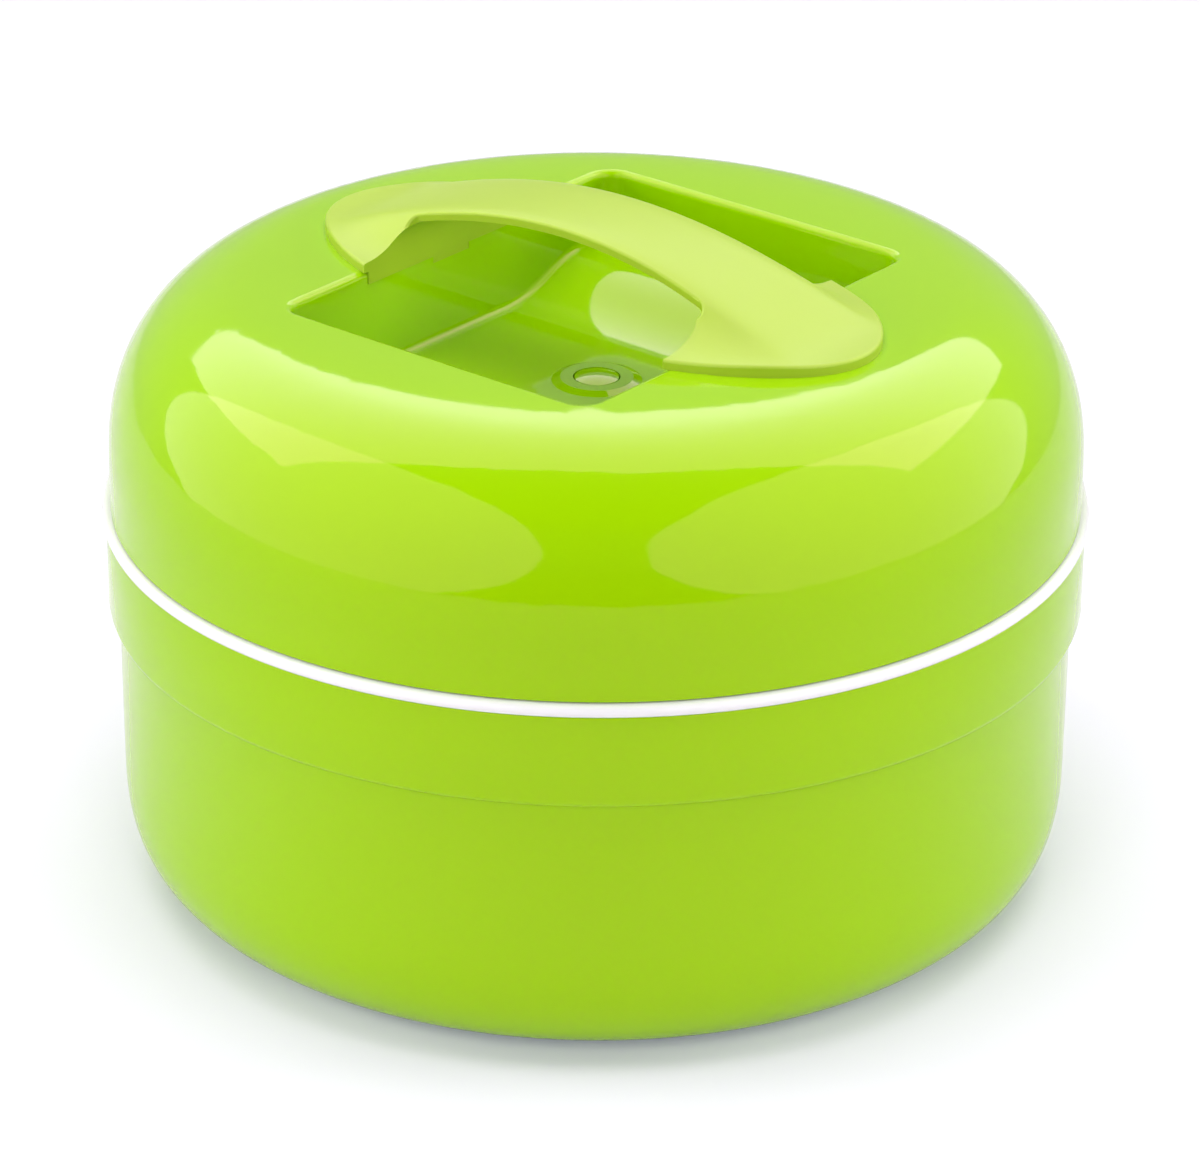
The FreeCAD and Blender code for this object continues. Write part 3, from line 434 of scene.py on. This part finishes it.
# ------------------------------------------------------------------------------------------
# Lid cover. The lid's domed upper shell, moulded in the bowl's lime polypropylene. The finger
# pocket, the notches for the handle's legs and the collar of the vent are moulded in.
# ------------------------------------------------------------------------------------------
dress("lid_cover", lime_gloss)

# ------------------------------------------------------------------------------------------
# Vent button. A small lime moulding in the pocket's floor. Its thin stem runs down through the
# lid liner, and a flange under the floor stops it.
# ------------------------------------------------------------------------------------------
dress("vent_button", lime_gloss)

# ------------------------------------------------------------------------------------------
# Carry handle. A separate lime moulding with a finer, satin skin that catches the light evenly.
# Its flaps lie on the lid and its legs fill the notches; screws from inside the lid hold it.
# ------------------------------------------------------------------------------------------
lime_satin = moulded_plastic("lime_satin", (0.35, 0.50, 0.02, 1), drift=0.02, roughness=0.36, smudge=0.05,
                             marks=0.03, grain_scale=1500.0, relief=0.000006,
                             shader={**lime_depth, "Specular Tint": (1.0, 0.6, 0.9, 1)})
dress("carry_handle", lime_satin)

# ------------------------------------------------------------------------------------------
# Lid liner. The white inside of the lid, joined to the cover at a flange. Its plug enters the
# bowl's mouth, and its ceiling has the vent holes.
# ------------------------------------------------------------------------------------------
dress("lid_liner", white_gloss)

# ------------------------------------------------------------------------------------------
# Dish and dish lid. Both are moulded in uncoloured polypropylene. The dish hangs by its flange
# on the liner's ledge, and its lid has a moulded grip rib.
# ------------------------------------------------------------------------------------------
natural = moulded_plastic("natural_satin", (0.78, 0.79, 0.76, 1), drift=0.03, roughness=0.34, smudge=0.10,
                          marks=0.06, grain_scale=1300.0, relief=0.00001,
                          shader={"IOR": 1.49, "Subsurface Weight": 0.35, "Subsurface Scale": 0.004,
                                  "Subsurface Radius": (1.0, 1.0, 0.95)})
for node in ("food_dish", "dish_lid"):
    dress(node, natural)

# ------------------------------------------------------------------------------------------
# Seals and vent disc. Moulded silicone: a flat gasket in the dish lid, a ring with two soft lips
# in the groove of the lid's plug, and the disc that closes the vent holes from below.
# ------------------------------------------------------------------------------------------
silicone = moulded_plastic("silicone", (0.74, 0.75, 0.73, 1), drift=0.03, roughness=0.5, smudge=0.1,
                           marks=0.02, grain_scale=1600.0, relief=0.00001,
                           shader={"IOR": 1.41, "Subsurface Weight": 0.5, "Subsurface Scale": 0.003,
                                   "Subsurface Radius": (1.0, 1.0, 1.0)})
for node in ("dish_seal", "lid_seal", "vent_disc"):
    dress(node, silicone)

# ------------------------------------------------------------------------------------------
# Vent sleeve. A thin moulded silicone sleeve with three folds round the button's stem. It
# stands on the lid liner.
# ------------------------------------------------------------------------------------------
sleeve_radius, sleeve_fold, sleeve_wall = 3.2, 0.7, 0.5
sleeve_foot, sleeve_height, sleeve_folds = 97.0, 5.3, 3
sleeve_steps = 48
rises = range(2 * sleeve_folds + 1)
outline = [(sleeve_radius - sleeve_fold * (rise % 2),
            sleeve_foot + sleeve_height * rise / (2 * sleeve_folds)) for rise in rises]
outline += [(radius - sleeve_wall, height) for radius, height in reversed(outline)]
sleeve = spun("vent_sleeve", outline, "lid", "vent_bellows", silicone, steps=sleeve_steps)
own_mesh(sleeve)

# ------------------------------------------------------------------------------------------
# Filler plug. A soft lime plug pushed into the hole under the bowl, through which the foam was
# poured. It has the handle's satin skin.
# ------------------------------------------------------------------------------------------
dress("foam_filler_plug", lime_satin)

# ------------------------------------------------------------------------------------------
# Foam. Pale, coarse rigid foam, poured in place. It fills the bowl's double wall and the lid.
# ------------------------------------------------------------------------------------------
foam = moulded_plastic("foam", (0.80, 0.74, 0.56, 1), drift=0.08, roughness=0.9, smudge=0.05, marks=0.0,
                       grain_scale=700.0, relief=0.0003, shader={"IOR": 1.3})
for node in ("bowl_insulation", "lid_insulation"):
    dress(node, foam)

# ------------------------------------------------------------------------------------------
# Screws and clip. Four bright steel screws hold the handle from inside the lid, and a push-on
# steel washer holds the disc on the vent's stem.
# ------------------------------------------------------------------------------------------
steel = moulded_plastic("steel", (0.6, 0.6, 0.6, 1), drift=0.03, roughness=0.25, smudge=0.1, marks=0.1,
                        grain_scale=1500.0, relief=0.00001, shader={"Metallic": 1.0})
for node in ("handle_screws", "vent_clip"):
    dress(node, steel)
